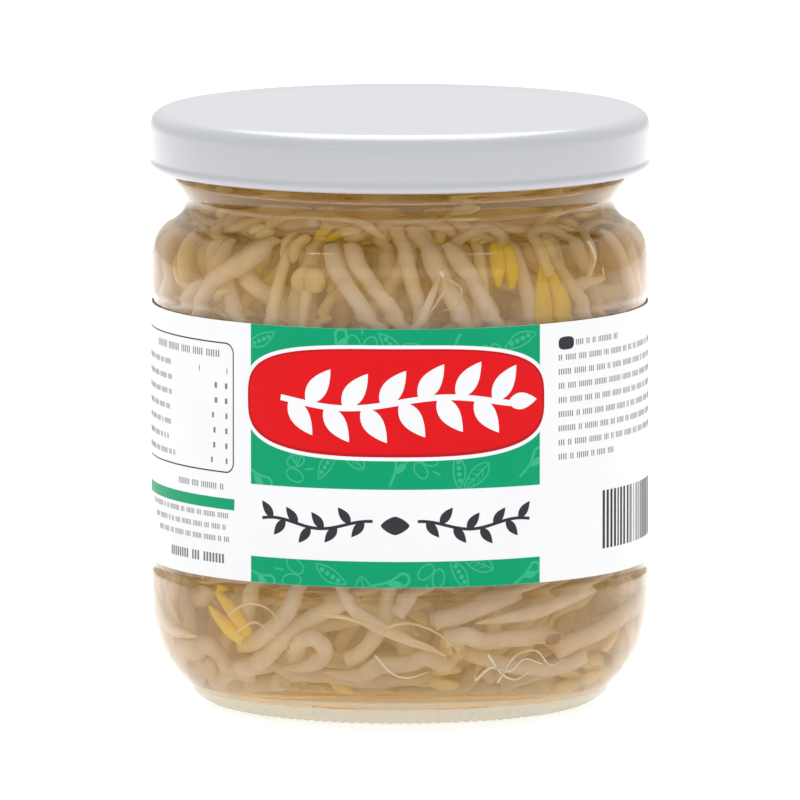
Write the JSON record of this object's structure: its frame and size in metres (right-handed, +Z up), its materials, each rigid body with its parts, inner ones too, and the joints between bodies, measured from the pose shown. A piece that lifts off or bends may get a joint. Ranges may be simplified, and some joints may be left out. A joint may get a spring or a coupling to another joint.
{
  "type": "jar of bean sprouts",
  "caption": "Wide-mouth glass jar with a white twist-off lid and a paper label, filled with bean sprouts in brine.",
  "frame": {"origin": "on the jar's axis, at the plane of its standing ring", "axes": "+Z up along the axis of the jar, -Y towards the front of the label, +X to the right of the label as seen from the front"},
  "size_m": [0.0806, 0.0806, 0.0963],
  "materials": {
    "glass": "clear flint glass, smooth",
    "label_paper": "coated white paper with a green panel, satin",
    "brine": "slightly cloudy tan liquid",
    "sprout": "moist translucent white stem with a pale yellow head",
    "yellow_sprout": "moist white stem with an opened yellow leaf pair",
    "liner": "soft sealing compound",
    "lid_lacquer": "glossy white lacquer on thin steel"
  },
  "bodies": {
    "jar": {"jar_glass": "glass", "label": "label_paper", "brine": "brine", "sprout_01": "sprout", "sprout_02": "sprout", "sprout_03": "sprout", "sprout_04": "sprout", "sprout_05": "sprout", "sprout_06": "sprout", "sprout_07": "sprout", "sprout_08": "sprout", "sprout_09": "yellow_sprout", "sprout_10": "sprout", "sprout_11": "yellow_sprout", "sprout_12": "sprout", "sprout_13": "sprout", "sprout_14": "sprout", "sprout_15": "sprout", "sprout_16": "sprout", "sprout_17": "sprout", "sprout_18": "sprout", "sprout_19": "sprout", "sprout_20": "sprout", "sprout_21": "yellow_sprout", "sprout_22": "sprout", "sprout_23": "sprout", "sprout_24": "sprout", "sprout_25": "sprout", "sprout_26": "sprout", "sprout_27": "sprout", "sprout_28": "sprout", "sprout_29": "sprout", "sprout_30": "sprout", "sprout_31": "sprout", "sprout_32": "sprout", "sprout_33": "sprout", "sprout_34": "sprout", "sprout_35": "sprout", "sprout_36": "sprout", "sprout_37": "sprout", "sprout_38": "sprout", "sprout_39": "sprout", "sprout_40": "sprout", "sprout_41": "sprout", "sprout_42": "sprout", "sprout_43": "sprout", "sprout_44": "sprout", "sprout_45": "sprout", "sprout_46": "sprout", "sprout_47": "sprout", "sprout_48": "sprout", "sprout_49": "sprout", "sprout_50": "sprout", "sprout_51": "sprout", "sprout_52": "sprout", "sprout_53": "sprout", "sprout_54": "sprout", "sprouts_inner": "sprout"},
    "liner": {"lid_liner": "liner"},
    "lid": {"lid": "lid_lacquer"}
  },
  "joints": [
    {"name": "lid_lift", "type": "slide", "parent": "jar", "child": "liner", "axis": [0, 0, 1], "range_m": [0, 0.0024]},
    {"name": "lid_twist", "type": "hinge", "parent": "liner", "child": "lid", "pos_m": [0, 0, 0.09], "axis": [0, 0, 1], "range_deg": [0, 45]}
  ],
  "couplings": [
    {"joint": "lid_lift", "follows": "lid_twist", "m_per_rad": 0.003}
  ]
}
